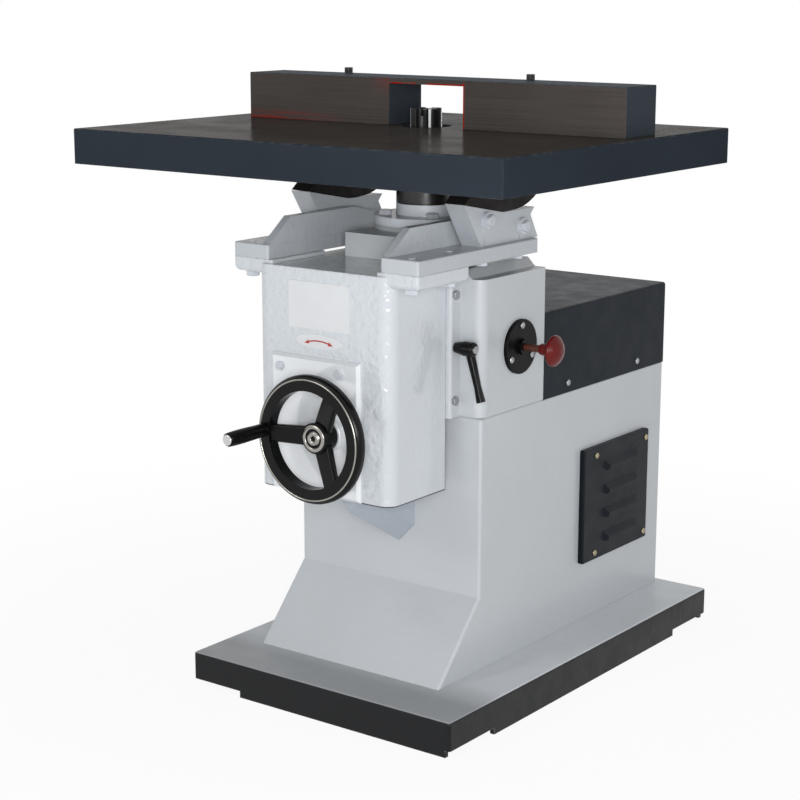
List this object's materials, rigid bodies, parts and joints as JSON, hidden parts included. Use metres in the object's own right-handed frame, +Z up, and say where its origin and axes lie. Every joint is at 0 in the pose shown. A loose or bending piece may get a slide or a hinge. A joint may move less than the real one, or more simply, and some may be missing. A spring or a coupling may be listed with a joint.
{
  "type": "spindle moulder",
  "caption": "Floor-standing spindle moulder with a tilting table on a knee raised by a handwheel, a fence with a tunnel for the cutter, a spindle lock and a belt cover.",
  "frame": {"origin": "on the floor under the middle of the machine's box, in the spindle's mid-plane", "axes": "+X to the operator's right, +Y from the operator to the rear, +Z up"},
  "size_m": [0.81, 0.9145, 0.9935],
  "materials": {
    "grey_enamel": "light grey enamel",
    "dark_iron": "dark as cast",
    "ground_iron": "ground working faces",
    "dark_paint": "satin",
    "black_plastic": "gloss",
    "red_plastic": "gloss",
    "belt_rubber": "matt",
    "bronze": "machined",
    "bright_steel": "polished",
    "steel": "machined"
  },
  "bodies": {
    "base": {"plinth": "grey_enamel", "pedestal": "grey_enamel", "spindle_head": "grey_enamel", "gib": "steel", "gib_screws": "steel", "spindle_cartridge": "grey_enamel", "flange_bolts": "steel", "spindle_bearings": "steel", "motor_housing": "dark_paint", "motor_base_plate": "dark_paint", "drive_belt": "belt_rubber", "belt_cover": "dark_paint", "cover_screws": "steel", "vent_panel": "dark_paint", "vent_screws": "steel", "lock_flange": "black_plastic", "lock_screws": "steel", "lift_bracket": "grey_enamel", "lift_bracket_bolts": "steel", "lift_screw": "steel"},
    "knee_group": {"knee": "grey_enamel", "shaft_bush": "bronze", "front_panel": "grey_enamel", "panel_bolts": "steel", "bracket_right": "grey_enamel", "bracket_left": "grey_enamel", "saddle_right": "grey_enamel", "saddle_left": "grey_enamel", "clamp_washers": "steel", "clamp_bolts": "steel", "ear_bolts": "steel", "saddle_bolts": "steel"},
    "wheel_group": {"handwheel": "black_plastic", "hub_cap": "bright_steel", "wheel_shaft": "steel", "lift_pinion": "steel", "grip_stud": "bright_steel"},
    "grip_group": {"handle_grip": "black_plastic"},
    "nut_group": {"lift_nut": "bronze", "nut_ring": "steel"},
    "table_group": {"table": "ground_iron", "table_insert": "ground_iron", "trunnion_right": "dark_iron", "trunnion_left": "dark_iron", "trunnion_bolts": "steel", "fence_left": "ground_iron", "fence_right": "ground_iron", "fence_bridge": "ground_iron", "fence_bolts": "steel"},
    "motor_group": {"motor_shaft": "steel", "motor_pulley": "dark_iron"},
    "spindle_group": {"spindle_shaft": "steel", "spindle_pulley": "dark_iron", "cutter": "steel", "spindle_nut": "steel"},
    "lever_group": {"clamp_lever": "black_plastic", "lever_stud": "steel"},
    "lock_group": {"lock_pin": "steel", "lock_knob": "red_plastic"}
  },
  "joints": [
    {"name": "handwheel_turn", "type": "hinge", "parent": "knee_group", "child": "wheel_group", "pos_m": [0.022, -0.338, 0.458], "axis": [0, 1, 0], "range_deg": [0, 5760]},
    {"name": "knee_lift", "type": "slide", "parent": "base", "child": "knee_group", "axis": [0, 0, 1], "range_m": [0, 0.08]},
    {"name": "lift_nut_turn", "type": "hinge", "parent": "knee_group", "child": "nut_group", "pos_m": [0.022, -0.236, 0.43], "axis": [0, 0, 1], "range_deg": [-5760, 0]},
    {"name": "grip_spin", "type": "hinge", "parent": "wheel_group", "child": "grip_group", "pos_m": [-0.0639, -0.406, 0.4625], "axis": [0, 1, 0], "continuous": true},
    {"name": "table_tilt", "type": "hinge", "parent": "knee_group", "child": "table_group", "pos_m": [0, -0.039, 0.909], "axis": [-1, 0, 0], "range_deg": [0, 30]},
    {"name": "motor_spin", "type": "hinge", "parent": "base", "child": "motor_group", "pos_m": [0, 0.266, 0.515], "axis": [0, 0, 1], "continuous": true},
    {"name": "spindle_spin", "type": "hinge", "parent": "base", "child": "spindle_group", "pos_m": [0, -0.039, 0.515], "axis": [0, 0, 1], "continuous": true},
    {"name": "lever_swing", "type": "hinge", "parent": "base", "child": "lever_group", "pos_m": [0.168, -0.155, 0.582], "axis": [-1, 0, 0], "range_deg": [0, 90]},
    {"name": "lock_slide", "type": "slide", "parent": "base", "child": "lock_group", "axis": [1, 0, 0], "range_m": [-0.018, 0]}
  ],
  "couplings": [
    {"joint": "handwheel_turn", "follows": "knee_lift", "rad_per_m": 1256.6},
    {"joint": "lift_nut_turn", "follows": "knee_lift", "rad_per_m": -1256.6},
    {"joint": "spindle_spin", "follows": "motor_spin", "ratio": 3}
  ]
}
